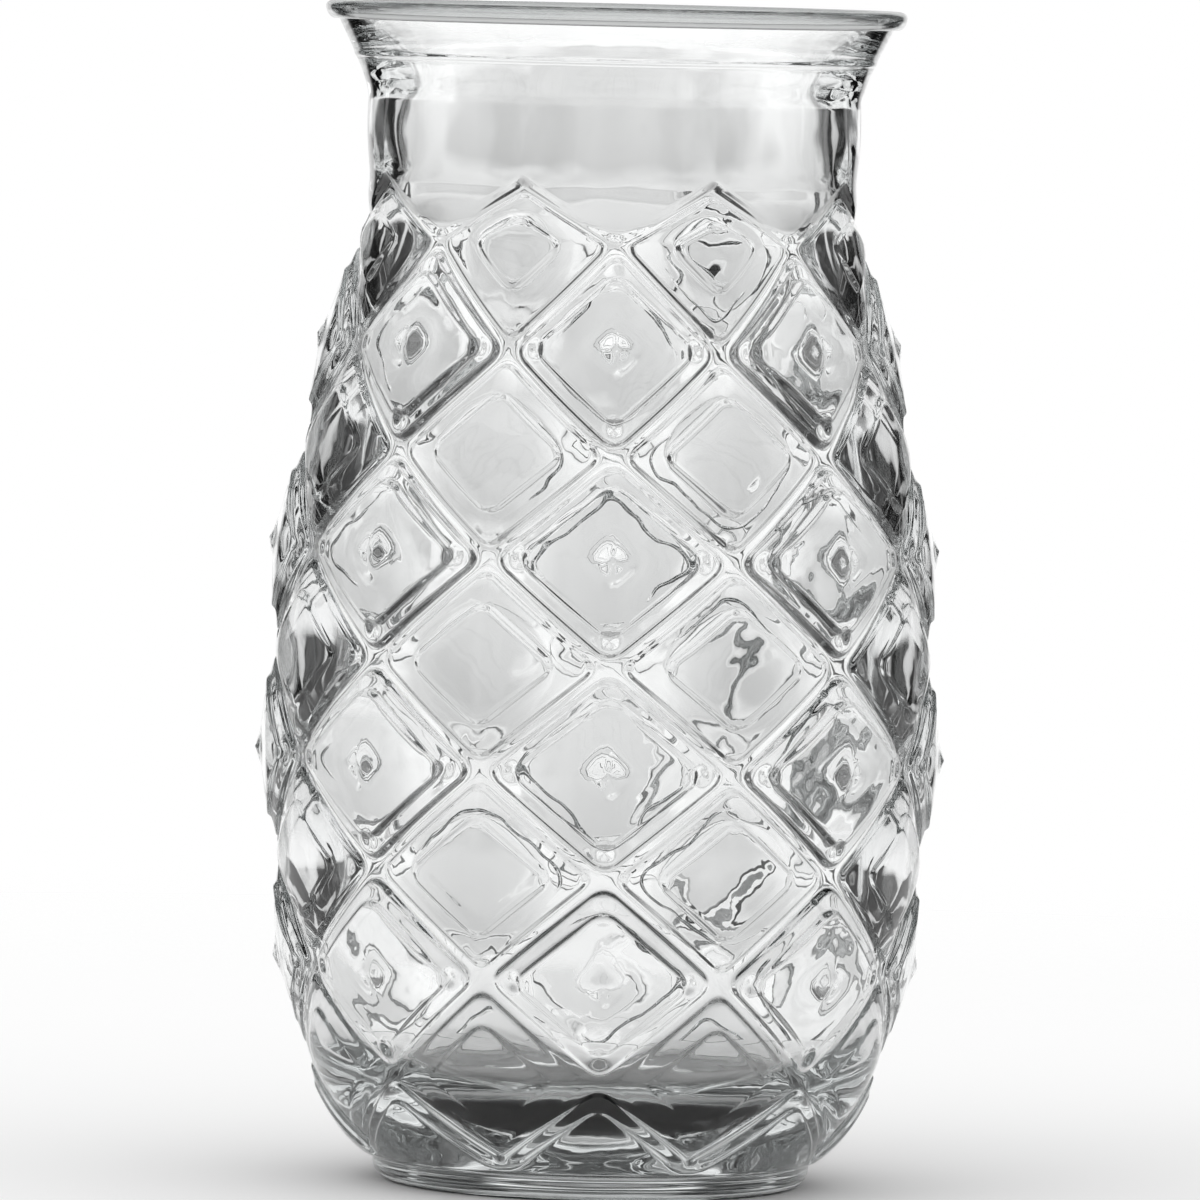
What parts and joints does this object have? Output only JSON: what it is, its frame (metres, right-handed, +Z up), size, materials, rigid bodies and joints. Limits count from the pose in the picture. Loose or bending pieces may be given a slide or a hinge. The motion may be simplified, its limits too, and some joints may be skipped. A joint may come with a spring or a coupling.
{
  "type": "drinking glass",
  "caption": "Pineapple-shaped tumbler of clear pressed glass, with a flared beaded rim, a slim panelled neck, a belly of studded diamonds and a plain foot ring; holds a cold drink.",
  "frame": {"origin": "middle of the underside, on the plane the glass stands on", "axes": "+Z up through the middle of the rim; a column of large diamonds faces -Y (front)"},
  "size_m": [0.0822, 0.0822, 0.14],
  "materials": {
    "clear_glass": "fire-polished clear pressed glass"
  },
  "bodies": {
    "root": {"glass_body": "clear_glass"}
  },
  "joints": []
}
